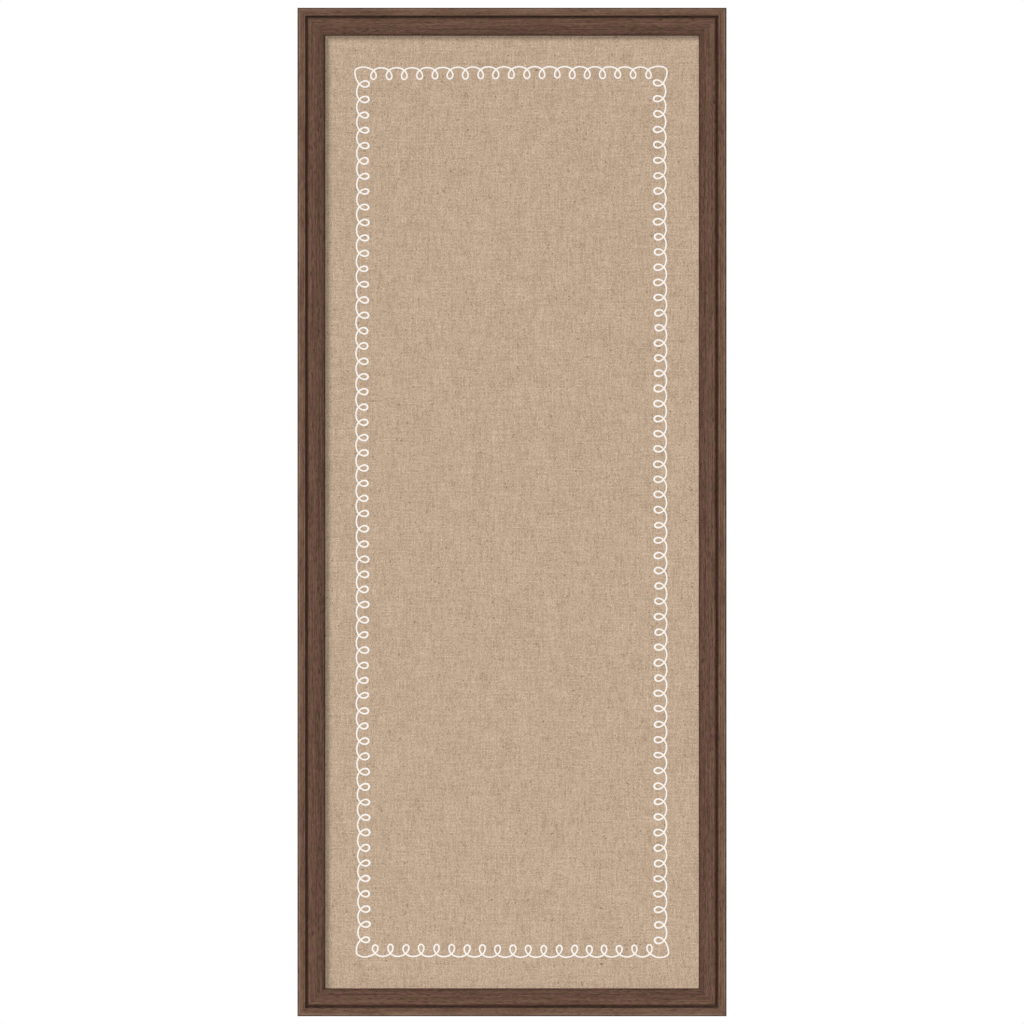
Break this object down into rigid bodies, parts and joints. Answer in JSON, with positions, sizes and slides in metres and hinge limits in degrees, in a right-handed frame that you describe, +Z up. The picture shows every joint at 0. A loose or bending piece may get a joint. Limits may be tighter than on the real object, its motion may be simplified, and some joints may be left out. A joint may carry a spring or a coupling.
{
  "type": "framed pin board",
  "caption": "Tall pin board: linen-covered soft panel in a mitred wooden moulding, hung by two hinged D-rings on its back.",
  "frame": {"origin": "middle of the top rail's back face, which lies towards the wall", "axes": "+Y from the front to the wall, +Z up, +X to the right as the front is seen"},
  "size_m": [0.3386, 0.0249, 0.7958],
  "materials": {
    "walnut_moulding": "satin",
    "linen": "matte",
    "fibreboard": "matte",
    "hardboard": "matte",
    "zinc_plated_steel": "satin",
    "rubber": "matte"
  },
  "bodies": {
    "board": {"backing_board": "hardboard", "bottom_rail": "walnut_moulding", "fibreboard_core": "fibreboard", "framers_point_bottom_rail_1": "zinc_plated_steel", "framers_point_bottom_rail_2": "zinc_plated_steel", "framers_point_left_stile_1": "zinc_plated_steel", "framers_point_left_stile_2": "zinc_plated_steel", "framers_point_left_stile_3": "zinc_plated_steel", "framers_point_left_stile_4": "zinc_plated_steel", "framers_point_right_stile_1": "zinc_plated_steel", "framers_point_right_stile_2": "zinc_plated_steel", "framers_point_right_stile_3": "zinc_plated_steel", "framers_point_right_stile_4": "zinc_plated_steel", "framers_point_top_rail_1": "zinc_plated_steel", "framers_point_top_rail_2": "zinc_plated_steel", "hanger_screw_left": "zinc_plated_steel", "hanger_screw_right": "zinc_plated_steel", "hanger_strap_left": "zinc_plated_steel", "hanger_strap_right": "zinc_plated_steel", "left_stile": "walnut_moulding", "linen_cover": "linen", "right_stile": "walnut_moulding", "top_rail": "walnut_moulding", "v_nail_bottom_left_inner": "zinc_plated_steel", "v_nail_bottom_left_outer": "zinc_plated_steel", "v_nail_bottom_right_inner": "zinc_plated_steel", "v_nail_bottom_right_outer": "zinc_plated_steel", "v_nail_top_left_inner": "zinc_plated_steel", "v_nail_top_left_outer": "zinc_plated_steel", "v_nail_top_right_inner": "zinc_plated_steel", "v_nail_top_right_outer": "zinc_plated_steel", "wall_bumper_left": "rubber", "wall_bumper_right": "rubber"},
    "ring_left": {"d_ring_left": "zinc_plated_steel"},
    "ring_right": {"d_ring_right": "zinc_plated_steel"}
  },
  "joints": [
    {"name": "d_ring_left_swing", "type": "hinge", "parent": "board", "child": "ring_left", "pos_m": [-0.1616, 0.002, -0.1423], "axis": [1, 0, 0], "range_deg": [0, 174]},
    {"name": "d_ring_right_swing", "type": "hinge", "parent": "board", "child": "ring_right", "pos_m": [0.1616, 0.002, -0.1423], "axis": [1, 0, 0], "range_deg": [0, 174]}
  ]
}
